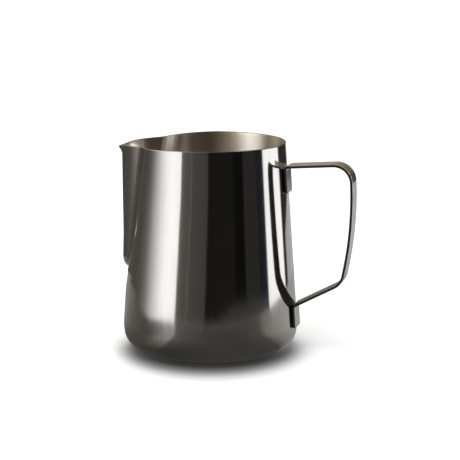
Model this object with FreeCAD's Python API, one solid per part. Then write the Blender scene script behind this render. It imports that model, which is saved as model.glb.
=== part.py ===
"""Milk frothing pitcher: a drawn steel cup with a pressed spout, and a bent strap handle.

Frame: millimetres, +Z up, origin at the centre of the standing ring, on the cup's axis.
The handle is on +X and the spout on -X.
"""
import math
import os

import FreeCAD, Part
from FreeCAD import Vector

# ---- cup profile -------------------------------------------------------------------------
HEIGHT = 112.0              # standing ring to rim, away from the spout
RIM_RADIUS = 40.5           # outside, at the rim
WALL_SLOPE = 0.0668         # the wall widens by this much per mm going down
BELLY_TOP = 15.8            # height where the straight wall ends
BELLY_ARC = 31.3            # radius of the arc that turns the wall inwards
CORNER_ARC = 10.8           # radius of the base corner
SHEET = 0.8                 # sheet thickness

# ---- base --------------------------------------------------------------------------------
RECESS_RADIUS = 32.0        # the base stands on a flat ring outside this radius
RECESS_DEPTH = 0.8
RECESS_FLARE = 0.8          # run of the step's sloped edge

# ---- spout -------------------------------------------------------------------------------
NOSE_RADIUS = 6.5           # rounding of the spout's ridge
RIDGE_REACH = 49.0          # axis to the ridge, near the rim
RIDGE_TOP = 110.0           # height at which the ridge has that reach
RIDGE_DRAFT = 0.007         # the ridge comes in by this much per mm going down
SPOUT_FOOT = 43.0           # height where the ridge has died into the wall
SPOUT_FOOT_RUN = 7.0        # height over which it dies
RISE_STEEPNESS = 2.4        # how quickly the ridge starts at its foot
RISE_ROUNDING = 0.6         # and how gently it runs out at the top of the foot
FLANK_HOLLOW = 2.4          # depth of the hollow beside the spout, where the ridge is highest
FLANK_HOLLOW_DEG = 12.5     # half width of that hollow
FLANK_HOLLOW_AT = 0.95      # its place, as a share of the angle at which the flank meets the wall
HIGHEST_RIDGE = 9.0         # ridge beyond the round wall, where it is highest
FOOT_DENT = 0.9             # the wall is drawn in just under the spout
FOOT_DENT_BELOW = 2.5
FOOT_DENT_RUN = 4.5
FOOT_DENT_DEG = 24.0
LIP_FLARE = 2.9             # the pouring lip turns out by this much
LIP_START = 103.6
LIP_RUN = 5.0
LIP_HALF_DEG = 11.0

# ---- rim line ----------------------------------------------------------------------------
DIP_START = 5.0             # distance from the axis, towards the spout, where the rim dips
DIP_DEPTH = 2.6             # smooth dip at the lip's tip
DIP_POWER = 1.3
TIP_DROP = 1.4              # extra drop of the tip itself
TIP_RUN = 4.0
TIP_REACH = 52.0

# ---- handle strap ------------------------------------------------------------------------
STRAP_WIDTH = 12.5
STRAP_THICK = 1.5
STRAP_EDGE = 0.35           # rounding of the strap's long edges
TAB_CORNER = 1.6            # rounding of the tabs' corners
TAB_GAP = 0.02              # the tab's middle all but touches the wall
UPPER_TAB_END = 86.0
UPPER_BEND = 100.2
GRIP_TOP = (77.2, 102.6)    # corners of the strap's middle line, before rounding
GRIP_MIDDLE = (78.8, 69.0)
GRIP_BOTTOM = (72.8, 38.8)
LOWER_BEND = 25.3
LOWER_TAB_END = 13.2
BEND_RADIUS = 1.9           # middle-line radii
TOP_RADIUS = 9.4
BOW_RADIUS = 190.0
BOTTOM_RADIUS = 9.1

# ---- spot welds --------------------------------------------------------------------------
NUGGET_RADIUS = 1.8
NUGGET_IN_WALL = 0.35
NUGGET_IN_STRAP = 0.6
UPPER_WELDS = (95.6, 89.6)
LOWER_WELDS = (21.4, 16.2)

FAR = 130.0                 # beyond every face of the part


def body_radius(z, inset=0.0):
    """Radius of the round cup at height z, for the outside or for a surface inset from it."""
    lean = math.atan(WALL_SLOPE)
    turn = (BELLY_TOP - BELLY_ARC * math.sin(lean) - CORNER_ARC) / (CORNER_ARC - BELLY_ARC)
    lower = math.asin(turn)
    top_radius = RIM_RADIUS + WALL_SLOPE * (HEIGHT - BELLY_TOP)
    belly_x = top_radius - BELLY_ARC * math.cos(lean)
    belly_z = BELLY_TOP - BELLY_ARC * math.sin(lean)
    corner_x = belly_x + (BELLY_ARC - CORNER_ARC) * math.cos(lower)
    corner_z = belly_z + (BELLY_ARC - CORNER_ARC) * turn
    if z >= belly_z + (BELLY_ARC - inset) * math.sin(lean):
        return RIM_RADIUS + WALL_SLOPE * (HEIGHT - z) - inset / math.cos(lean)
    if z >= corner_z + (CORNER_ARC - inset) * turn:
        return belly_x + math.sqrt((BELLY_ARC - inset) ** 2 - (z - belly_z) ** 2)
    return corner_x + math.sqrt(max((CORNER_ARC - inset) ** 2 - (z - corner_z) ** 2, 0.0))


def ridge_rise(z):
    """How far the spout has grown out of the wall at height z, from 0 to 1."""
    u = min(max((z - SPOUT_FOOT) / SPOUT_FOOT_RUN, 0.0), 1.0)
    return (1.0 - (1.0 - u) ** RISE_STEEPNESS) ** RISE_ROUNDING


def section_radius(angle, z, inset=0.0):
    """Distance from the axis to the wall at an angle from the spout's direction."""
    a = abs(angle)
    body = body_radius(z, inset)
    reach = RIDGE_REACH - RIDGE_DRAFT * (RIDGE_TOP - z) - inset
    ridge = body + (reach - body) * ridge_rise(z)
    nose = NOSE_RADIUS - inset
    centre = ridge - nose
    flank = math.acos(min((body - nose) / centre, 1.0))
    nose_end = math.atan2(nose * math.sin(flank), centre + nose * math.cos(flank))
    if a <= nose_end:
        r = centre * math.cos(a) + math.sqrt(nose ** 2 - (centre * math.sin(a)) ** 2)
    elif a < flank:
        r = body / math.cos(flank - a)
    else:
        r = body
    growth = (ridge - body) / HIGHEST_RIDGE
    aside = (a - FLANK_HOLLOW_AT * flank) / math.radians(FLANK_HOLLOW_DEG)
    r -= FLANK_HOLLOW * growth * math.exp(-aside ** 2)
    below = (z - SPOUT_FOOT + FOOT_DENT_BELOW) / FOOT_DENT_RUN
    r -= FOOT_DENT * math.exp(-below ** 2 - (a / math.radians(FOOT_DENT_DEG)) ** 2)
    flare = max(z - LIP_START, 0.0) / LIP_RUN
    return r + LIP_FLARE * flare ** 2 * math.exp(-(a / math.radians(LIP_HALF_DEG)) ** 2)


def rim_height(x):
    """Height of the rim line, which dips towards the spout on -X."""
    u = max((-x - DIP_START) / (TIP_REACH - DIP_START), 0.0)
    tip = math.exp(-((TIP_REACH + x) / TIP_RUN) ** 2)
    return HEIGHT - DIP_DEPTH * u ** DIP_POWER - TIP_DROP * tip


def section_angles():
    """Angles round one section, closest together over the spout."""
    coarse = [-180.0 + 10.0 * i for i in range(12)]
    middle = [-60.0, -55.0, -50.0]
    fine = [-45.0 + 2.5 * i for i in range(36)]
    half = [45.0, 50.0, 55.0] + [60.0 + 10.0 * i for i in range(12)]
    return [math.radians(d) for d in coarse + middle + fine + half]


def wall_solid(heights, inset):
    """Solid bounded by the wall's surface at one inset, through sections at these heights."""
    angles = section_angles()
    knots = [(a + math.pi) / (2.0 * math.pi) for a in angles] + [1.0]
    wires = []
    for z in heights:
        points = []
        for a in angles:
            r = section_radius(a, z, inset)
            points.append(Vector(-r * math.cos(a), -r * math.sin(a), z))
        curve = Part.BSplineCurve()
        curve.interpolate(Points=points, Parameters=knots, PeriodicFlag=True)
        wires.append(Part.Wire([curve.toShape()]))
    return Part.makeLoft(wires, True, False)


def wall_heights(inset):
    """Heights of the sections, following the base corner and then the wall."""
    corner = CORNER_ARC - inset
    lows = [inset + corner * (1.0 - math.cos(math.radians(d))) for d in (0, 8, 18, 30, 42, 54, 66)]
    mids = [9.6, 12.6, 15.8, 20.0, 27.0, 33.0, 36.5, 39.0, 41.0, 42.4, 43.0, 43.6, 44.4, 45.4]
    highs = [46.6, 48.2, 50.0, 53.0, 58.0, 66.0, 76.0, 86.0, 94.0, 99.0, 102.0, 103.6]
    lips = [105.0, 106.4, 107.8, 109.2, 110.6, 112.0, 113.0]
    return lows + mids + highs + lips


def rim_cutter():
    """Everything above the rim line, as one block swept along Y."""
    line = [Vector(x, -FAR / 2, rim_height(x)) for x in range(-60, -4, 2)]
    line.append(Vector(-DIP_START, -FAR / 2, HEIGHT))
    curve = Part.BSplineCurve()
    curve.interpolate(line)
    corners = [line[-1], Vector(FAR / 2, -FAR / 2, HEIGHT), Vector(FAR / 2, -FAR / 2, FAR),
               Vector(-60.0, -FAR / 2, FAR), line[0]]
    sides = [Part.LineSegment(corners[i], corners[i + 1]).toShape() for i in range(4)]
    face = Part.Face(Part.Wire([curve.toShape()] + sides))
    return face.extrude(Vector(0.0, FAR, 0.0))


def wall_frame(z):
    """Point on the outside of the wall at the handle, and the wall's outward direction."""
    normal = Vector(1.0, 0.0, WALL_SLOPE)
    normal.normalize()
    return Vector(body_radius(z), 0.0, z), normal


def nugget(z):
    """One weld nugget, part in the wall and part in the strap."""
    point, normal = wall_frame(z)
    base = point - normal * NUGGET_IN_WALL
    depth = NUGGET_IN_WALL + TAB_GAP + NUGGET_IN_STRAP
    return Part.makeCylinder(NUGGET_RADIUS, depth, base, normal)


def cross_point(p, u, q, v):
    """Where the line through p along u meets the line through q along v, in XZ."""
    det = u[1] * v[0] - u[0] * v[1]
    s = ((q[1] - p[1]) * v[0] - (q[0] - p[0]) * v[1]) / det
    return (p[0] + s * u[0], p[1] + s * u[1])


def offset_corners(corners, offset):
    """The open polyline moved sideways by offset, to the left of its direction."""
    legs = []
    for a, b in zip(corners, corners[1:]):
        length = math.hypot(b[0] - a[0], b[1] - a[1])
        u = ((b[0] - a[0]) / length, (b[1] - a[1]) / length)
        legs.append(((a[0] - u[1] * offset, a[1] + u[0] * offset), u))
    last = (corners[-1][0] - legs[-1][1][1] * offset, corners[-1][1] + legs[-1][1][0] * offset)
    inner = [cross_point(p, u, q, v) for (p, u), (q, v) in zip(legs, legs[1:])]
    return [legs[0][0]] + inner + [last]


def rounded_line(corners, radii):
    """Edges of the polyline with an arc at each inner corner."""
    edges = []
    start = Vector(corners[0][0], 0.0, corners[0][1])
    for before, here, after, radius in zip(corners, corners[1:], corners[2:], radii):
        p = Vector(here[0], 0.0, here[1])
        u = (Vector(before[0], 0.0, before[1]) - p).normalize()
        v = (Vector(after[0], 0.0, after[1]) - p).normalize()
        half = math.acos(u.dot(v)) / 2.0
        a = p + u * (radius / math.tan(half))
        b = p + v * (radius / math.tan(half))
        bisector = (u + v).normalize()
        middle = p + bisector * (radius / math.sin(half) - radius)
        edges.append(Part.LineSegment(start, a).toShape())
        edges.append(Part.Arc(a, middle, b).toShape())
        start = b
    edges.append(Part.LineSegment(start, Vector(corners[-1][0], 0.0, corners[-1][1])).toShape())
    return edges


def strap():
    """The handle: the strap's side view, extruded across its width, with rounded edges."""
    def tab_middle(z):
        return body_radius(z) + (TAB_GAP + STRAP_THICK / 2.0) * math.hypot(1.0, WALL_SLOPE)

    middle = [(tab_middle(UPPER_TAB_END), UPPER_TAB_END), (tab_middle(UPPER_BEND), UPPER_BEND),
              GRIP_TOP, GRIP_MIDDLE, GRIP_BOTTOM,
              (tab_middle(LOWER_BEND), LOWER_BEND), (tab_middle(LOWER_TAB_END), LOWER_TAB_END)]
    radii = [BEND_RADIUS, TOP_RADIUS, BOW_RADIUS, BOTTOM_RADIUS, BEND_RADIUS]
    half = STRAP_THICK / 2.0
    turns = []      # both sides of a bend share its centre, so one radius grows, one shrinks
    for before, here, after in zip(middle, middle[1:], middle[2:]):
        cross = ((here[0] - before[0]) * (after[1] - here[1])
                 - (here[1] - before[1]) * (after[0] - here[0]))
        turns.append(1.0 if cross > 0.0 else -1.0)
    left = rounded_line(offset_corners(middle, half), [r - half * t for r, t in zip(radii, turns)])
    right = rounded_line(offset_corners(middle, -half), [r + half * t for r, t in zip(radii, turns)])
    ends = [Part.LineSegment(left[0].Vertexes[0].Point, right[0].Vertexes[0].Point).toShape(),
            Part.LineSegment(left[-1].Vertexes[-1].Point, right[-1].Vertexes[-1].Point).toShape()]
    outline = Part.Wire(Part.__sortEdges__(left + right + ends))
    face = Part.Face(outline)
    face.translate(Vector(0.0, -STRAP_WIDTH / 2.0, 0.0))
    return face.extrude(Vector(0.0, STRAP_WIDTH, 0.0))


def round_strap(solid):
    """Round the corners of the tabs, then the strap's long edges."""
    corners = [e for e in solid.Edges if abs(e.Length - STRAP_THICK) < 1e-6]
    solid = solid.makeFillet(TAB_CORNER, corners)
    long_edges = [e for e in solid.Edges
                  if all(abs(abs(v.Y) - STRAP_WIDTH / 2.0) < 1e-6 for v in e.Vertexes)
                  and e.Vertexes[0].Y * e.Vertexes[1].Y > 0.0]
    return solid.makeFillet(STRAP_EDGE, long_edges)


def cup():
    """Outside less inside, trimmed at the rim, with the recessed base."""
    outside = wall_solid(wall_heights(0.0), 0.0)
    inside = wall_solid(wall_heights(SHEET), SHEET)
    top = RECESS_RADIUS - RECESS_FLARE
    recess = Part.makeCone(RECESS_RADIUS, top, RECESS_DEPTH)
    floor = Part.makeCone(RECESS_RADIUS + SHEET * 0.8, top + SHEET * 0.8, RECESS_DEPTH,
                          Vector(0.0, 0.0, SHEET))
    shell = outside.cut(inside.cut(floor)).cut(recess)
    return shell.cut(rim_cutter())


def single(shape):
    """The one solid in a boolean's result."""
    solids = shape.Solids
    if len(solids) != 1:
        raise RuntimeError("expected one solid, found %d" % len(solids))
    return solids[0]


def main():
    os.makedirs("parts", exist_ok=True)
    upper = Part.makeCompound([nugget(z) for z in UPPER_WELDS])
    lower = Part.makeCompound([nugget(z) for z in LOWER_WELDS])
    body = cup()
    handle = round_strap(single(strap()))
    for weld in upper.Solids + lower.Solids:
        body = body.cut(weld)
        handle = handle.cut(weld)
    nodes = {
        "cup_body": single(body),
        "handle_strap": single(handle),
        "upper_spot_welds": upper,
        "lower_spot_welds": lower,
    }
    for name, shape in nodes.items():
        print(name, "valid", shape.isValid(), "volume", round(shape.Volume, 1), shape.BoundBox)
        shape.exportStep("parts/%s.step" % name)


main()
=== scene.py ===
import math

import bpy
import numpy as np
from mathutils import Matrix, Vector


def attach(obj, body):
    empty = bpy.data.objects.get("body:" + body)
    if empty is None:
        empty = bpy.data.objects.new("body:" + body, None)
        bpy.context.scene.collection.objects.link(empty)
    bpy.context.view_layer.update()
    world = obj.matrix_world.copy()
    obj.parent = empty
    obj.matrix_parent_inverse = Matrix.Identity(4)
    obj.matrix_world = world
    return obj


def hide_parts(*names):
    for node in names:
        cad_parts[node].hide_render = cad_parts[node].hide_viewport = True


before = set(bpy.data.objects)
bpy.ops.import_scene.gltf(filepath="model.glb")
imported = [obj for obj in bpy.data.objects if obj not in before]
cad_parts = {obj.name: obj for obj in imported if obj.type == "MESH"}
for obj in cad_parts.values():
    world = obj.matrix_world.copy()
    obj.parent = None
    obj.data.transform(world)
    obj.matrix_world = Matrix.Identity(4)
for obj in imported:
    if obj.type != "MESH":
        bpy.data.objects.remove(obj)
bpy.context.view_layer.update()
MM = 0.001
OUTSIDE, INSIDE, RIM, UNDER, FLOOR = range(5)      # the cup's material slots

# ------------------------------------------------------------------ the cup's surface (mm)
HEIGHT, RIM_RADIUS, WALL_SLOPE = 112.0, 40.5, 0.0668
BELLY_TOP, BELLY_ARC, CORNER_ARC, SHEET = 15.8, 31.3, 10.8, 0.8
RECESS_RADIUS, RECESS_DEPTH = 32.0, 0.8
NOSE_RADIUS, RIDGE_REACH, RIDGE_TOP, RIDGE_DRAFT = 6.5, 49.0, 110.0, 0.007
SPOUT_FOOT, SPOUT_FOOT_RUN = 43.0, 7.0
RISE_STEEPNESS, RISE_ROUNDING = 2.4, 0.6
FLANK_HOLLOW, FLANK_HOLLOW_DEG, FLANK_HOLLOW_AT, HIGHEST_RIDGE = 2.4, 12.5, 0.95, 9.0
FOOT_DENT, FOOT_DENT_BELOW, FOOT_DENT_RUN, FOOT_DENT_DEG = 0.9, 2.5, 4.5, 24.0
FOLD_DEPTH, FOLD_HALF_DEG, FOLD_TOP, FOLD_BOTTOM = 1.05, 1.5, 103.0, 40.0
FOLD_FADE_TOP, FOLD_FADE_BOTTOM, FOLD_FADE_POWER = 40.0, 6.0, 1.5
FOLD_HIGH_DEG, FOLD_CLOSING_DEG, FOLD_CLOSING_POWER = 38.5, 13.5, 2.1
FOLD_CLOSES_FROM, FOLD_CLOSES_RUN, FOLD_CLOSES_LIMIT = 80.0, 31.0, 1.2
FLANK_BULGE, FLANK_START, FLANK_END = 1.9, 0.20, 0.87
LIP_FLARE, LIP_START, LIP_RUN, LIP_HALF_DEG = 2.9, 103.6, 5.0, 11.0
DIP_START, DIP_DEPTH, DIP_POWER = 5.0, 2.6, 1.3
TIP_DROP, TIP_RUN, TIP_REACH = 1.4, 4.0, 52.0
WIDEST_TURN = 1.2      # radians; keeps the flank's cosine well above zero
BASE_RADII = (1.0, 8.0, 16.0, 24.0)
# The recess's rounded step, below and inside: distance out from its radius, share of its depth.
STEP_BELOW = [(-1.6, 1.0), (-1.0, 0.95), (-0.4, 0.5), (0.1, 0.05), (0.6, 0.0), (2.0, 0.0), (3.4, 0.0)]
STEP_INSIDE = [(2.4, 0.0), (1.2, 0.0), (0.7, 0.075), (0.1, 0.5), (-0.5, 0.95), (-1.2, 1.0)]
ROWS_OUTSIDE, ROWS_INSIDE = 1.0, 1.5      # distance between the wall's rows of points
EVEN_ROWS_TO, UPPER_ROWS_OVER = 56.0, 75.0
RIM_FOLLOWED_FROM = 90.0                  # above this, the rows tilt to follow the rim
CORNER_ROWS_DEG = range(0, 80, 6)         # rows round the corner above the standing ring
RIM_ROUNDS = 40                           # enough for the rim's height to settle

LEAN = math.atan(WALL_SLOPE)
TURN = (BELLY_TOP - BELLY_ARC * math.sin(LEAN) - CORNER_ARC) / (CORNER_ARC - BELLY_ARC)
BELLY_X = RIM_RADIUS + WALL_SLOPE * (HEIGHT - BELLY_TOP) - BELLY_ARC * math.cos(LEAN)
BELLY_Z = BELLY_TOP - BELLY_ARC * math.sin(LEAN)
CORNER_X = BELLY_X + (BELLY_ARC - CORNER_ARC) * math.cos(math.asin(TURN))
CORNER_Z = BELLY_Z + (BELLY_ARC - CORNER_ARC) * TURN


def body_radius(z, inset):
    """Radius of the round cup at height z, outside or inset from it."""
    cone = RIM_RADIUS + WALL_SLOPE * (HEIGHT - z) - inset / math.cos(LEAN)
    belly = BELLY_X + np.sqrt(np.maximum((BELLY_ARC - inset) ** 2 - (z - BELLY_Z) ** 2, 0))
    corner = CORNER_X + np.sqrt(np.maximum((CORNER_ARC - inset) ** 2 - (z - CORNER_Z) ** 2, 0))
    above = z >= BELLY_Z + (BELLY_ARC - inset) * math.sin(LEAN)
    low = z < CORNER_Z + (CORNER_ARC - inset) * TURN
    return np.where(above, cone, np.where(low, corner, belly))


def fold_angle(z):
    """Where the sharp fold beside the spout runs: it closes in on the spout's foot."""
    down = np.clip((FOLD_CLOSES_FROM - z) / FOLD_CLOSES_RUN, 0, FOLD_CLOSES_LIMIT)
    return np.radians(FOLD_HIGH_DEG - FOLD_CLOSING_DEG * down ** FOLD_CLOSING_POWER)


def wall_radius(a, z, inset):
    """Distance from the axis to the wall; a is the angle from the spout's direction."""
    a = np.abs(a)
    body = body_radius(z, inset)
    u = np.clip((z - SPOUT_FOOT) / SPOUT_FOOT_RUN, 0, 1)
    rise = (1 - (1 - u) ** RISE_STEEPNESS) ** RISE_ROUNDING
    ridge = body + (RIDGE_REACH - RIDGE_DRAFT * (RIDGE_TOP - z) - inset - body) * rise
    nose = NOSE_RADIUS - inset
    centre = ridge - nose
    flank = np.arccos(np.clip((body - nose) / centre, -1, 1))
    nose_end = np.arctan2(nose * np.sin(flank), centre + nose * np.cos(flank))
    tip = centre * np.cos(a) + np.sqrt(np.maximum(nose ** 2 - (centre * np.sin(a)) ** 2, 0))
    side = body / np.cos(np.clip(flank - a, 0, WIDEST_TURN))
    r = np.where(a <= nose_end, tip, np.where(a < flank, side, body))
    aside = (a - FLANK_HOLLOW_AT * flank) / math.radians(FLANK_HOLLOW_DEG)
    r = r - FLANK_HOLLOW * (ridge - body) / HIGHEST_RIDGE * np.exp(-aside ** 2)
    along = (a / np.maximum(flank, 0.01) - FLANK_START) / (FLANK_END - FLANK_START)
    bulge = np.sin(math.pi * np.clip(along, 0, 1))
    r = r + FLANK_BULGE * rise * bulge
    below = (z - SPOUT_FOOT + FOOT_DENT_BELOW) / FOOT_DENT_RUN
    r = r - FOOT_DENT * np.exp(-below ** 2 - (a / math.radians(FOOT_DENT_DEG)) ** 2)
    across = (a - fold_angle(z)) / math.radians(FOLD_HALF_DEG)
    fade_up = np.clip((FOLD_TOP - z) / FOLD_FADE_TOP, 0, 1) ** FOLD_FADE_POWER
    fade_down = np.clip((z - FOLD_BOTTOM) / FOLD_FADE_BOTTOM, 0, 1)
    r = r - FOLD_DEPTH * fade_up * fade_down * np.exp(-across ** 2)
    flare = np.maximum(z - LIP_START, 0) / LIP_RUN
    return r + LIP_FLARE * flare ** 2 * np.exp(-(a / math.radians(LIP_HALF_DEG)) ** 2)


def rim_height(x):
    """Height of the rim above the table; it dips toward the spout, at -X, and at the spout's tip."""
    u = np.maximum((-x - DIP_START) / (TIP_REACH - DIP_START), 0)
    return HEIGHT - DIP_DEPTH * u ** DIP_POWER - TIP_DROP * np.exp(-((TIP_REACH + x) / TIP_RUN) ** 2)


def rim_at(a):
    """Height of the rim at each angle."""
    z = np.full_like(a, HEIGHT)
    for _ in range(RIM_ROUNDS):
        z = 0.5 * z + 0.5 * rim_height(-wall_radius(a, z, 0.0) * np.cos(a))
    return z


def columns():
    """Places round the cup: 0 on the spout's ridge, 1 on the fold, 2 at the back; sign is the side.

    They are closest together on both sides of the fold.
    """
    side = np.r_[np.linspace(0, 0.84, 22), np.linspace(0.86, 1.0, 15),
                 np.linspace(1.0025, 1.045, 16), np.linspace(1.055, 2.0, 76)]
    return np.r_[-side[:0:-1], side[:-1]]


def angles_at(place, z):
    """Angles of the columns at height z, so that one column follows the fold all the way."""
    fold = fold_angle(z)
    far = np.abs(place)
    a = np.where(far <= 1, far * fold, fold + (far - 1) * (math.pi - fold))
    return np.sign(place) * a


def cup_mesh():
    """One closed mesh: underside, outside, rounded rim, inside, floor."""
    place = columns()
    level = angles_at(place, HEIGHT)
    top = rim_at(level)
    rings, kinds = [], []

    def ring(r, z, kind, a=level):
        rings.append((-r * np.cos(a), -r * np.sin(a), np.broadcast_to(z, a.shape)))
        kinds.append(kind)

    for r in BASE_RADII:
        ring(r, RECESS_DEPTH, UNDER)
    for out, share in STEP_BELOW:
        ring(RECESS_RADIUS + out, RECESS_DEPTH * share, UNDER)

    def heights(inset, spacing):
        corner = CORNER_ARC - inset
        low = [CORNER_Z - corner * math.cos(math.radians(d)) for d in CORNER_ROWS_DEG]
        even = list(np.arange(low[-1] + 1.0, EVEN_ROWS_TO, spacing))
        return low + even + list(np.linspace(even[-1] + spacing, HEIGHT, int(UPPER_ROWS_OVER / spacing)))

    def wall(inset, spacing):
        rows = []
        for z in heights(inset, spacing):
            tilt = max((z - RIM_FOLLOWED_FROM) / (HEIGHT - RIM_FOLLOWED_FROM), 0.0)
            zz = z + (top - SHEET / 2 - HEIGHT) * tilt
            a = angles_at(place, z)
            rows.append((a, wall_radius(a, zz, inset), zz))
        return rows

    outer, inner = wall(0.0, ROWS_OUTSIDE), wall(SHEET, ROWS_INSIDE)
    for a, r, z in outer:
        ring(r, z, OUTSIDE, a)
    middle = (outer[-1][1] + inner[-1][1]) / 2
    half = (outer[-1][1] - inner[-1][1]) / 2
    for t in np.radians(range(15, 180, 15)):
        ring(middle + half * math.cos(t), outer[-1][2] + SHEET / 2 * math.sin(t), RIM)
    for a, r, z in inner[::-1]:
        ring(r, z, INSIDE, a)
    for out, share in STEP_INSIDE:
        ring(RECESS_RADIUS + out, SHEET + RECESS_DEPTH * share, FLOOR)
    for r in BASE_RADII[::-1]:
        ring(r, SHEET + RECESS_DEPTH, FLOOR)

    n, m = len(place), len(rings)
    verts = np.concatenate([np.c_[x, y, z] for x, y, z in rings])
    faces, slots = [], []
    for i in range(m - 1):
        pair = (kinds[i], kinds[i + 1])
        for j in range(n):
            k = (j + 1) % n
            faces.append((i * n + j, (i + 1) * n + j, (i + 1) * n + k, i * n + k))
            slots.append(RIM if RIM in pair else pair[1])
    faces.append(tuple(range(n)))
    slots.append(UNDER)
    faces.append(tuple(range((m - 1) * n, m * n))[::-1])
    slots.append(FLOOR)
    return verts * MM, faces, slots


# ------------------------------------------------------------------ the handle strap (mm)
STRAP_WIDTH, STRAP_THICK, STRAP_EDGE, TAB_CORNER, TAB_GAP = 12.5, 1.5, 0.4, 1.6, 0.02
UPPER_TAB_FOOT, UPPER_BEND, LOWER_BEND, LOWER_TAB_FOOT = 86.0, 100.2, 25.3, 13.2
GRIP_TOP, GRIP_MIDDLE, GRIP_FOOT = (77.2, 102.6), (78.8, 69.0), (72.8, 38.8)
BEND_RADII = (1.9, 9.4, 190.0, 9.1, 1.9)
PATH_STEP, BEND_STEP, GRIP_STEP, GRIP_FROM_X = 1.5, 0.12, 0.5, 70.0
END_STEPS = np.array([0.0, 0.05, 0.2, 0.45, 0.8, 1.2])      # along the strap, over its rounded ends
FLAT_POINTS, UPPER_TAB_LENGTH = 23, 14.0
ETCH_TOP, ETCH_BOTTOM, ETCH_DEPTH, ETCH_PITCH, ETCH_SLANT = 93.5, 44.0, 0.1, 3.6, 0.55
ETCH_FADE, ETCH_MARGIN, ETCH_MARGIN_FADE, ETCH_LEAST = 1.5, 0.9, 0.5, 0.35
# The third slot, the strap's face turned to the cup past the upper tab, is near-black steel: painted shade.
FACE, EDGE, SHADED_BACK, ETCHED = range(4)      # the strap's material slots


def tab_x(z):
    """Distance of the strap's middle line from the axis, where a tab lies along the wall."""
    r = RIM_RADIUS + WALL_SLOPE * (HEIGHT - z) if z > BELLY_TOP else float(body_radius(np.array(z), 0.0))
    return r + (TAB_GAP + STRAP_THICK / 2) * math.hypot(1, WALL_SLOPE)


def strap_path():
    """Points and directions along the strap's middle line, from the upper tab to the lower."""
    upper = [(tab_x(z), z) for z in (UPPER_TAB_FOOT, UPPER_BEND)]
    lower = [(tab_x(z), z) for z in (LOWER_BEND, LOWER_TAB_FOOT)]
    corners = [*upper, GRIP_TOP, GRIP_MIDDLE, GRIP_FOOT, *lower]
    points, start = [], np.array(corners[0])

    def line(p, q):
        count = max(int(np.hypot(*(q - p)) / PATH_STEP), 2)
        return [p + (q - p) * k / count for k in range(count)]

    for before, here, after, radius in zip(corners, corners[1:], corners[2:], BEND_RADII):
        b, p, c = np.array(before), np.array(here), np.array(after)
        u, v = (b - p) / np.hypot(*(b - p)), (c - p) / np.hypot(*(c - p))
        half = math.acos(u @ v) / 2
        s, e = p + u * radius / math.tan(half), p + v * radius / math.tan(half)
        centre = p + (u + v) / np.hypot(*(u + v)) * radius / math.sin(half)
        a0, a1 = math.atan2(*(s - centre)[::-1]), math.atan2(*(e - centre)[::-1])
        sweep = (a1 - a0 + math.pi) % (2 * math.pi) - math.pi
        points += line(start, s)
        count = max(int(abs(sweep) * radius / PATH_STEP), int(abs(sweep) / BEND_STEP))
        for a in [a0 + sweep * k / count for k in range(count)]:
            points.append(centre + radius * np.array([math.cos(a), math.sin(a)]))
        start = e
    points += line(start, np.array(corners[-1])) + [np.array(corners[-1])]
    points = np.array(points)
    way = np.gradient(points, axis=0)
    return points, way / np.hypot(way[:, 0], way[:, 1])[:, None]


def etching(y, z):
    """Depth of the fine oblique flutes etched into the grip's outer face, 0 to 1."""
    inside = np.clip((ETCH_TOP - z) / ETCH_FADE, 0, 1) * np.clip((z - ETCH_BOTTOM) / ETCH_FADE, 0, 1)
    waves = 0.5 + 0.5 * np.sin(2 * math.pi * (z + ETCH_SLANT * y) / ETCH_PITCH)
    margin = np.clip((STRAP_WIDTH / 2 - ETCH_MARGIN - np.abs(y)) / ETCH_MARGIN_FADE, 0, 1)
    return inside * margin * (ETCH_LEAST + (1 - ETCH_LEAST) * waves)


def strap_section():
    """The strip's rounded cross-section: across its width, and out from its middle line."""
    half_w, half_t, e = STRAP_WIDTH / 2, STRAP_THICK / 2, STRAP_EDGE
    turn = np.radians((0, 22.5, 45, 67.5, 90))
    flat = np.linspace(-half_w + e, half_w - e, FLAT_POINTS + 2)[1:-1]
    corner = np.c_[half_w - e + e * np.sin(turn), half_t - e + e * np.cos(turn)]
    far = corner[::-1] * (1, -1)
    outer = np.c_[flat, np.full(FLAT_POINTS, half_t)]
    inner = np.c_[flat[::-1], np.full(FLAT_POINTS, -half_t)]
    return np.r_[outer, corner, far, inner, corner * (-1, -1), corner[::-1] * (-1, 1)]


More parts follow.
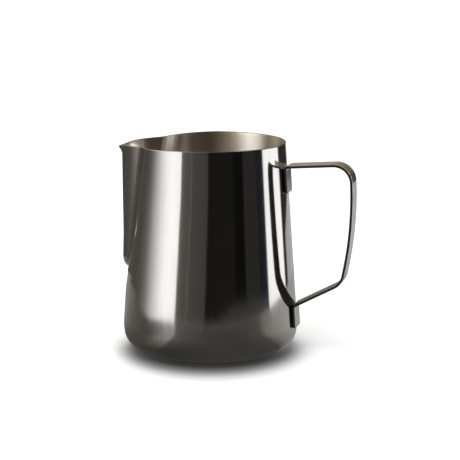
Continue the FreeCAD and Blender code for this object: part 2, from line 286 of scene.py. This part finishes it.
def strap_mesh():
    """The strap as a closed mesh: a rounded strip section swept along the path."""
    points, way = strap_path()
    length = np.r_[0, np.cumsum(np.hypot(*np.diff(points, axis=0).T))]
    clear = END_STEPS[-1] + 0.05
    middle = length[(length > clear) & (length < length[-1] - clear)]
    grip = np.flatnonzero(points[:, 0] > GRIP_FROM_X)
    fine = np.arange(length[grip[0]], length[grip[-1]], GRIP_STEP)
    s = np.unique(np.r_[END_STEPS, middle, fine, length[-1] - END_STEPS].round(3))
    px, pz = np.interp(s, length, points[:, 0]), np.interp(s, length, points[:, 1])
    wx, wz = np.interp(s, length, way[:, 0]), np.interp(s, length, way[:, 1])
    norm = np.hypot(wx, wz)
    wx, wz = wx / norm, wz / norm
    section = strap_section()
    half_w, half_t, e = STRAP_WIDTH / 2, STRAP_THICK / 2, STRAP_EDGE
    n, m = len(section), len(s)
    verts = np.empty((m * n, 3))
    for i in range(m):
        end = min(s[i], s[-1] - s[i])
        cut = max(TAB_CORNER - end, 0.0)
        narrow = TAB_CORNER - math.sqrt(max(TAB_CORNER ** 2 - cut ** 2, 0.0))
        y = section[:, 0] * (half_w - narrow) / half_w
        pinch = max(e - end, 0.0)
        thick = 1 - (e - math.sqrt(max(e ** 2 - pinch ** 2, 0.0))) / half_t
        out = section[:, 1] * thick
        if px[i] > GRIP_FROM_X:
            out = out - np.where(section[:, 1] > half_t - 1e-6, ETCH_DEPTH * etching(y, pz[i]), 0.0)
        verts[i * n:(i + 1) * n] = np.c_[px[i] - wz[i] * out, y, pz[i] + wx[i] * out]
    faces = [tuple(range(n))[::-1], tuple(range((m - 1) * n, m * n))]
    slots = [EDGE, EDGE]
    for i in range(m - 1):
        gripping = px[i] > GRIP_FROM_X and ETCH_BOTTOM < pz[i] < ETCH_TOP
        for j in range(n):
            k = (j + 1) % n
            faces.append((i * n + j, i * n + k, (i + 1) * n + k, (i + 1) * n + j))
            height = (section[j, 1] + section[k, 1]) / 2
            if height > half_t - 0.1:
                slots.append(ETCHED if gripping else FACE)
            elif height > -half_t + 0.05:
                slots.append(EDGE)
            else:
                # past the upper tab, the face turned to the cup takes the near-black steel painted as shade
                slots.append(FACE if s[i] < UPPER_TAB_LENGTH else SHADED_BACK)
    return verts * MM, faces, slots


TRIM = 0.9996      # keeps the smooth meshes just inside the CAD shapes


def make(name, verts, faces, materials, slots):
    """A smooth-shaded mesh object with its materials; slots says which one each face takes."""
    mesh = bpy.data.meshes.new(name)
    mesh.from_pydata([(x * TRIM, y * TRIM, z) for x, y, z in verts], [], faces)
    for material in materials:
        mesh.materials.append(material)
    mesh.polygons.foreach_set("material_index", slots)
    mesh.polygons.foreach_set("use_smooth", [True] * len(mesh.polygons))
    mesh.update()
    obj = bpy.data.objects.new(name, mesh)
    bpy.context.scene.collection.objects.link(obj)
    return obj


# ------------------------------------------------------------------ materials
PATCH_SCALE, PATCH_SHARE, DARKEST, LIGHTEST = 60.0, 0.35, 0.93, 1.06      # slight unevenness
LINE_DETAIL, LINE_ROUGHNESS, PATCH_DETAIL = 5.0, 0.65, 3.0
PATTERN_LOW, PATTERN_HIGH = 0.3, 1.0      # range of lines and patches together


def metal(name, colour, roughness, anisotropic, turn, grain, grain_depth, grain_rough):
    """Steel with fine brush lines. grain scales the lines' pattern along X, Y and Z.

    The shine is stretched along or round the axis by anisotropic and turn.
    """
    mat = bpy.data.materials.new(name)
    mat.use_nodes = True
    nodes, links = mat.node_tree.nodes, mat.node_tree.links
    shader = nodes["Principled BSDF"]
    shader.inputs["Metallic"].default_value = 1.0
    shader.inputs["Anisotropic"].default_value = anisotropic
    shader.inputs["Anisotropic Rotation"].default_value = turn
    where = nodes.new("ShaderNodeTexCoord")
    stretch = nodes.new("ShaderNodeMapping")
    stretch.inputs["Scale"].default_value = grain
    links.new(where.outputs["Object"], stretch.inputs["Vector"])
    lines = nodes.new("ShaderNodeTexNoise")
    lines.inputs["Scale"].default_value = 1.0
    lines.inputs["Detail"].default_value = LINE_DETAIL
    lines.inputs["Roughness"].default_value = LINE_ROUGHNESS
    links.new(stretch.outputs["Vector"], lines.inputs["Vector"])
    patches = nodes.new("ShaderNodeTexNoise")
    patches.inputs["Scale"].default_value = PATCH_SCALE
    patches.inputs["Detail"].default_value = PATCH_DETAIL
    links.new(where.outputs["Object"], patches.inputs["Vector"])
    blend = nodes.new("ShaderNodeMath")
    blend.operation = "MULTIPLY_ADD"
    blend.inputs[1].default_value = PATCH_SHARE
    links.new(patches.outputs["Fac"], blend.inputs[0])
    links.new(lines.outputs["Fac"], blend.inputs[2])
    tint = nodes.new("ShaderNodeMapRange")
    tint.inputs["From Min"].default_value = PATTERN_LOW
    tint.inputs["From Max"].default_value = PATTERN_HIGH
    links.new(blend.outputs[0], tint.inputs["Value"])
    mix = nodes.new("ShaderNodeMix")
    mix.data_type = "RGBA"
    mix.inputs["A"].default_value = (*[c * DARKEST for c in colour], 1)
    mix.inputs["B"].default_value = (*[c * LIGHTEST for c in colour], 1)
    links.new(tint.outputs["Result"], mix.inputs["Factor"])
    links.new(mix.outputs["Result"], shader.inputs["Base Color"])
    rough = nodes.new("ShaderNodeMapRange")
    rough.inputs["From Min"].default_value = PATTERN_LOW
    rough.inputs["From Max"].default_value = PATTERN_HIGH
    rough.inputs["To Min"].default_value = roughness - grain_rough
    rough.inputs["To Max"].default_value = roughness + grain_rough
    links.new(blend.outputs[0], rough.inputs["Value"])
    links.new(rough.outputs["Result"], shader.inputs["Roughness"])
    bump = nodes.new("ShaderNodeBump")
    bump.inputs["Strength"].default_value = 1.0
    bump.inputs["Distance"].default_value = grain_depth
    links.new(lines.outputs["Fac"], bump.inputs["Height"])
    links.new(bump.outputs["Normal"], shader.inputs["Normal"])
    around = nodes.new("ShaderNodeTangent")
    around.direction_type = "RADIAL"
    around.axis = "Z"
    links.new(around.outputs["Tangent"], shader.inputs["Tangent"])
    return mat


outside = metal("polished_steel_outside", (0.60, 0.59, 0.575), 0.09, 0.2, 0.25, (700, 700, 6), 6e-8, 0.012)
# The inside's base colour is warmer and browner than the outside's: a painted warm reflection.
inside = metal("satin_steel_inside", (0.62, 0.58, 0.52), 0.36, 1.0, 0.25, (10, 10, 2600), 3e-6, 0.05)
# The rim is the same steel painted much darker: painted shade along the rim.
rim_steel = metal("rim_steel", (0.21, 0.195, 0.175), 0.36, 0.0, 0.0, (120, 120, 900), 3e-7, 0.04)
under = metal("base_steel_outside", (0.58, 0.565, 0.54), 0.22, 0.0, 0.0, (400, 400, 400), 1e-6, 0.04)
floor_in = metal("base_steel_inside", (0.58, 0.54, 0.48), 0.42, 0.0, 0.0, (500, 500, 500), 3e-6, 0.05)
strap_face = metal("brushed_strap_steel", (0.64, 0.62, 0.59), 0.24, 0.0, 0.0, (2200, 60, 2200), 1.5e-6, 0.05)
# The strap's rounded edges are the same steel painted darker: painted shade.
strap_edge = metal("strap_edge_painted_shade", (0.25, 0.225, 0.20), 0.20, 0.0, 0.0, (700, 700, 2500), 2e-6, 0.05)
# The strap's face turned to the cup is the same steel painted near-black: painted shade.
strap_back_shade = metal("inner_strap_face_painted_shade", (0.05, 0.05, 0.055), 0.34, 0.0, 0.0, (900, 60, 900), 1e-7, 0.0)
strap_grip = metal("etched_grip_steel", (0.72, 0.70, 0.67), 0.46, 0.0, 0.0, (900, 900, 900), 1.2e-5, 0.08)
weld_steel = metal("fused_weld_steel", (0.45, 0.44, 0.42), 0.45, 0.0, 0.0, (800, 800, 800), 1e-5, 0.08)

# ------------------------------------------------------------------ pieces
verts, faces, slots = cup_mesh()
cup = make("drawn_cup", verts, faces, [outside, inside, rim_steel, under, floor_in], slots)
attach(cup, "root")
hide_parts("cup_body")

verts, faces, slots = strap_mesh()
strap = make("bent_strap", verts, faces, [strap_face, strap_edge, strap_back_shade, strap_grip], slots)
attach(strap, "root")
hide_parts("handle_strap")

for node in ("upper_spot_welds", "lower_spot_welds"):
    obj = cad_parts[node]
    obj.data.materials.clear()
    obj.data.materials.append(weld_steel)

# ------------------------------------------------------------------ floor and stage
VIEW_AZIMUTH, VIEW_ELEVATION, VIEW_DISTANCE, VIEW_HEIGHT = 14.5, 11.2, 1.0, 0.056
FLOOR_HALF, FLOOR_SHADE = 6.0, 0.92


def flat_material(name, colour):
    """A dull, even material."""
    mat = bpy.data.materials.new(name)
    mat.use_nodes = True
    shader = mat.node_tree.nodes["Principled BSDF"]
    shader.inputs["Base Color"].default_value = (*colour, 1)
    shader.inputs["Roughness"].default_value = 0.9
    shader.inputs["Specular IOR Level"].default_value = 0.0
    return mat


def stage_mesh(name, verts, faces, material):
    """A mesh that isn't part of the jug."""
    mesh = bpy.data.meshes.new(name)
    mesh.from_pydata(verts, [], faces)
    mesh.materials.append(material)
    obj = bpy.data.objects.new(name, mesh)
    bpy.context.scene.collection.objects.link(obj)
    return obj


def toward(azimuth, elevation):
    """Unit direction from the jug to a place round it; azimuth 0 is in front, at -Y."""
    t, e = math.radians(azimuth), math.radians(elevation)
    return Vector((math.sin(t) * math.cos(e), -math.cos(t) * math.cos(e), math.sin(e)))


floor_corners = [(x * FLOOR_HALF, y * FLOOR_HALF, 0) for x, y in ((-1, -1), (1, -1), (1, 1), (-1, 1))]
floor = stage_mesh("floor", floor_corners, [(0, 1, 2, 3)], flat_material("floor", (FLOOR_SHADE,) * 3))
floor.visible_glossy = False

# ------------------------------------------------------------------ the set that the steel mirrors
# Bearings are degrees from the camera's side to its right. Each stop is a bearing and a brightness,
# with an even ramp to the next stop.
SET_RADIUS, SET_HEIGHT, HIGH_FROM, BEARING_STEP = 0.25, 0.55, 0.125, 1.5
SET_ROWS = [*np.arange(0.0, 0.12, 0.004), 0.12, 0.13, 0.2, 0.35, SET_HEIGHT]
FLOOR_DEPTH = 0.0006
FLOOR_RINGS = [0.001, 0.04, 0.05, 0.06, 0.07, 0.08, 0.1, 0.14, 0.18, *np.arange(0.194, 0.26, 0.006)]
OVERHEAD_RINGS, OVERHEAD_LEVEL = (0.001, 0.1, 0.18, 0.26), 0.55

LEFT_WALL = [
    (-180, 0.03), (-165, 0.012), (-155, 0.02), (-148, 0.06), (-140, 0.095), (-120, 0.085), (-112, 0.09)]
LARGE_SOFTBOX = [
    (-106, 0.10), (-98, 0.13), (-92, 0.18), (-85, 0.32), (-80, 0.54), (-74, 0.80), (-64, 1.3),
    (-57, 1.55), (-50, 1.62), (-40, 1.5)]
LEFT_DRAPE = [(-38.8, 0.17), (-33, 0.115), (-26.2, 0.10)]
BRIGHT_GAP = [(-25.2, 0.18)]
FRONT_DRAPE = [(-24.2, 0.088), (-12, 0.075), (-3.4, 0.068)]
BLACK_DRAPE = [(-2.4, 0.012), (20, 0.014), (30, 0.013), (31.5, 0.007), (44, 0.006)]
RIGHT_DRAPE = [(45.5, 0.030), (64, 0.030), (66, 0.018), (76, 0.020), (77.5, 0.06)]
STRIP_LIGHT = [(79, 1.5), (113, 1.5)]
FLAG = [(114.5, 0.03), (165, 0.035), (180, 0.06)]
LOW_SET = [*LEFT_WALL, *LARGE_SOFTBOX, *LEFT_DRAPE, *BRIGHT_GAP, *FRONT_DRAPE, *BLACK_DRAPE,
           *RIGHT_DRAPE, *STRIP_LIGHT, *FLAG]
HIGH_CARDS = [
    (-180, 0.3), (-150, 0.5), (-135, 0.8), (-122, 0.5), (-112, 0.6), (-98, 1.8), (-90, 4.6),
    (-66, 4.8), (-58, 2.8), (-44, 1.0), (-29, 0.42), (-16, 0.18), (-8, 0.04), (0, 0.01), (44, 0.01),
    (50, 0.07), (60, 0.12), (93, 0.2), (95, 4.4), (102, 4.6), (104, 0.3), (112, 0.2),
    (140, 0.15), (160, 0.3), (180, 0.3)]
FLOOR_GLOW = [
    (-180, 0.30), (-135, 0.27), (-120, 0.19), (-104, 0.13), (-83, 0.09), (-73, 0.10), (-65, 0.16),
    (-56, 0.29), (-44, 0.37), (-40, 0.14), (-30, 0.105), (-11, 0.077), (0, 0.066), (25, 0.062),
    (44, 0.078), (58, 0.10), (66, 0.22), (77, 0.30), (90, 0.38), (104, 0.45), (140, 0.42), (180, 0.30)]
# Near the jug the floor that the steel sees is darker: painted shade round the base.
GLOW_SHADED_NEAR_JUG = [
    (-180, 0.25), (-110, 0.10), (-83, 0.085), (-60, 0.065), (-30, 0.045), (0, 0.058), (40, 0.06),
    (62, 0.08), (76, 0.25), (90, 0.32), (140, 0.32), (180, 0.25)]
INNER_EDGE, INNER_FADE = 0.05, 0.05

# The softbox's light comes this near the jug on the floor. The drapes end this high above it.
SOFTBOX_REACH = [(-110, 0.198), (-90, 0.203), (-76, 0.206), (-52, 0.236), (-38, 0.240)]
DRAPE_FEET = [(-9, 0.002), (4, 0.004), (30, 0.014), (78, 0.012)]
DRAPE_FEET_LEVEL, DRAPE_FEET_FADE = 0.058, 0.004
# The left side of the set leans outwards, going down. It is upright from LEAN_END on.
LEAN_DEG, LEAN_HEIGHT, LEAN_END, LEAN_FADE = 4.5, 0.08, 25.0, 15.0
# The flag's far edge is slanted: bearing and height at its ends, and the brightness beside it.
FLAG_START, FLAG_FADE, BRIGHT_END = 114.0, 3.0, 178.0
FLAG_EDGE_LOW, FLAG_EDGE_HIGH = (121.0, 0.033), (150.0, 0.069)
BESIDE_FLAG_LOW, BESIDE_FLAG_HIGH = 0.52, 0.64

PLAIN, WARM, COOL, BROWN = (1.0, 1.0, 1.0), (1.09, 1.0, 0.9), (0.8, 1.0, 1.3), (1.25, 0.95, 0.62)
WHITE_FROM, HIGH_WHITE_FROM = 0.6, 2.4
PLAIN_SIDE, COOL_SIDE = (31.0, 44.5), (65.0, 78.0)


def levels(stops, bearing):
    """Brightness, or another measure, at a bearing."""
    return float(np.interp(bearing, [b for b, _ in stops], [v for _, v in stops]))


def tinted(value, shade, white_from=WHITE_FROM):
    """Dark parts of the set have a tint; bright parts are white."""
    mix = min(value / white_from, 1.0)
    return [value * (c + (w - c) * mix) for c, w in zip(shade, PLAIN)]


def set_colour(bearing, z):
    """Colour of the upright ring at a bearing and height."""
    if z > HIGH_FROM:
        return tinted(levels(HIGH_CARDS, bearing), BROWN, HIGH_WHITE_FROM)
    upright = np.clip((LEAN_END - bearing) / LEAN_FADE, 0, 1)
    leaning = LEAN_DEG * max(1 - z / LEAN_HEIGHT, 0.0) * upright
    value = levels(LOW_SET, bearing + leaning)
    (low_edge, low_z), (high_edge, high_z) = FLAG_EDGE_LOW, FLAG_EDGE_HIGH
    along = np.clip((z - low_z) / (high_z - low_z), 0, 1)
    if FLAG_START < bearing < BRIGHT_END:
        edge = low_edge + (high_edge - low_edge) * along
        bright = BESIDE_FLAG_LOW + (BESIDE_FLAG_HIGH - BESIDE_FLAG_LOW) * along
        value += (bright - value) * np.clip((bearing - edge) / FLAG_FADE, 0, 1)
    if DRAPE_FEET[0][0] < bearing < DRAPE_FEET[-1][0]:
        under = np.clip((levels(DRAPE_FEET, bearing) - z) / DRAPE_FEET_FADE, 0, 1)
        value = max(value, DRAPE_FEET_LEVEL * under)
    if PLAIN_SIDE[0] < bearing < PLAIN_SIDE[1]:
        return tinted(value, PLAIN)
    return tinted(value, COOL if COOL_SIDE[0] < bearing < COOL_SIDE[1] else WARM)


def floor_colour(bearing, radius):
    """Colour of the floor as the steel sees it; near the jug it is darker, as painted shade."""
    beside_softbox = SOFTBOX_REACH[0][0] < bearing < SOFTBOX_REACH[-1][0]
    if beside_softbox and radius > levels(SOFTBOX_REACH, bearing):
        return set_colour(bearing, 0.0)
    out = np.clip((radius - INNER_EDGE) / INNER_FADE, 0, 1)
    return tinted(levels(GLOW_SHADED_NEAR_JUG, bearing) * (1 - out) + levels(FLOOR_GLOW, bearing) * out, WARM)


def painted(name, rows, place, colour):
    """A glowing stage surface that only the steel's reflections see; its columns are bearings."""
    bearings = sorted({*np.arange(-180, 180 + BEARING_STEP, BEARING_STEP), *[b for b, _ in LOW_SET]})
    verts, colours = [], []
    for row in rows:
        radius, z = place(row)
        for bearing in bearings:
            spot = toward(VIEW_AZIMUTH + bearing, 0.0) * radius
            verts.append((spot.x, spot.y, z))
            colours.append((*colour(bearing, row), 1.0))
    n = len(bearings)
    quads = [(i * n + j, i * n + j + 1, (i + 1) * n + j + 1, (i + 1) * n + j)
             for i in range(len(rows) - 1) for j in range(n - 1)]
    mat = flat_material(name, (0, 0, 0))
    nodes, links = mat.node_tree.nodes, mat.node_tree.links
    nodes["Principled BSDF"].inputs["Emission Strength"].default_value = 1.0
    paint = nodes.new("ShaderNodeVertexColor")
    paint.layer_name = "glow"
    links.new(paint.outputs["Color"], nodes["Principled BSDF"].inputs["Emission Color"])
    obj = stage_mesh(name, verts, quads, mat)
    glow = obj.data.color_attributes.new("glow", "FLOAT_COLOR", "POINT")
    glow.data.foreach_set("color", np.array(colours).ravel())
    obj.visible_camera = False
    obj.visible_diffuse = False
    obj.visible_shadow = False
    obj.visible_transmission = False
    obj.visible_volume_scatter = False


painted("set_round_the_jug", SET_ROWS, lambda z: (SET_RADIUS, z), set_colour)
painted("floor_seen_in_steel", FLOOR_RINGS, lambda radius: (radius, -FLOOR_DEPTH), floor_colour)
painted("overhead_card", OVERHEAD_RINGS, lambda radius: (radius, SET_HEIGHT),
        lambda bearing, radius: tinted(OVERHEAD_LEVEL, WARM))

# ------------------------------------------------------------------ the soft shade under the jug
# Each ring: half width and half length in millimetres, and how dark.
SHADE_RINGS = [(1, 1, 1.0), (37, 38, 0.96), (42, 45, 0.86), (45, 51, 0.70), (48, 57, 0.45),
               (51, 65, 0.22), (54, 74, 0.07), (58, 84, 0.0)]
SHADE_SIDES, SHADE_FORWARD, SHADE_HEIGHT = 72, 0.010, 0.002


def base_shade():
    """A dark disc, clear at its edge, that dims the floor; neither camera nor steel sees it."""
    front, right = toward(VIEW_AZIMUTH, 0.0), toward(VIEW_AZIMUTH + 90, 0.0)
    verts, dark = [], []
    for wide, deep, level in SHADE_RINGS:
        for a in np.linspace(0, 2 * math.pi, SHADE_SIDES, endpoint=False):
            spot = right * (wide * MM * math.cos(a)) + front * (SHADE_FORWARD + deep * MM * math.sin(a))
            verts.append((spot.x, spot.y, SHADE_HEIGHT))
            dark.append(level)
    faces = [tuple(range(SHADE_SIDES))]
    for ring in range(0, (len(SHADE_RINGS) - 1) * SHADE_SIDES, SHADE_SIDES):
        for k in range(SHADE_SIDES):
            n = (k + 1) % SHADE_SIDES
            faces.append((ring + k, ring + n, ring + SHADE_SIDES + n, ring + SHADE_SIDES + k))
    mat = flat_material("base_shade", (0.0, 0.0, 0.0))
    nodes, links = mat.node_tree.nodes, mat.node_tree.links
    read = nodes.new("ShaderNodeAttribute")
    read.attribute_name = "dark"
    links.new(read.outputs["Fac"], nodes["Principled BSDF"].inputs["Alpha"])
    obj = stage_mesh("base_shade", verts, faces, mat)
    spread = obj.data.attributes.new("dark", "FLOAT", "POINT")
    spread.data.foreach_set("value", dark)
    obj.visible_camera = False
    obj.visible_glossy = False


base_shade()

# ------------------------------------------------------------------ lights
WORLD_STRENGTH = 1.15
world = bpy.data.worlds.new("studio")
world.use_nodes = True
world.node_tree.nodes["Background"].inputs["Color"].default_value = (1, 1, 1, 1)
world.node_tree.nodes["Background"].inputs["Strength"].default_value = WORLD_STRENGTH
bpy.context.scene.world = world


def softbox(name, azimuth, elevation, distance, size, power):
    """A round soft lamp aimed at the jug, left out of reflections."""
    light = bpy.data.lights.new(name, "AREA")
    light.shape = "DISK"
    light.size = size
    light.energy = power
    obj = bpy.data.objects.new(name, light)
    back = toward(azimuth, elevation)
    obj.location = back * distance
    obj.rotation_mode = "QUATERNION"
    obj.rotation_quaternion = back.to_track_quat("Z", "Y")
    obj.visible_glossy = False
    bpy.context.scene.collection.objects.link(obj)


softbox("key_light", -40, 55, 1.4, 0.9, 6.0)
softbox("fill_light", 60, 50, 1.6, 0.9, 4.0)

# ------------------------------------------------------------------ camera
SENSOR_WIDTH, FOCAL_LENGTH = 36.0, 145.1
AIM_RIGHT, AIM_UP = 0.0106, 0.00755      # the cup's axis stands a little left of the frame's middle
back = toward(VIEW_AZIMUTH, VIEW_ELEVATION)
right = toward(VIEW_AZIMUTH + 90, 0.0)
up = back.cross(right)
cam_data = bpy.data.cameras.new("camera")
cam_data.sensor_width = SENSOR_WIDTH
cam_data.lens = FOCAL_LENGTH
cam_data.clip_start, cam_data.clip_end = 0.05, 50
cam = bpy.data.objects.new("camera", cam_data)
centre = Vector((0, 0, VIEW_HEIGHT))
cam.location = centre + back * VIEW_DISTANCE
aim = centre + right * AIM_RIGHT + up * AIM_UP
cam.rotation_mode = "QUATERNION"
cam.rotation_quaternion = (cam.location - aim).to_track_quat("Z", "Y")
bpy.context.scene.collection.objects.link(cam)
bpy.context.scene.camera = cam

bpy.context.scene.view_settings.view_transform = "Standard"
bpy.context.scene.view_settings.look = "None"
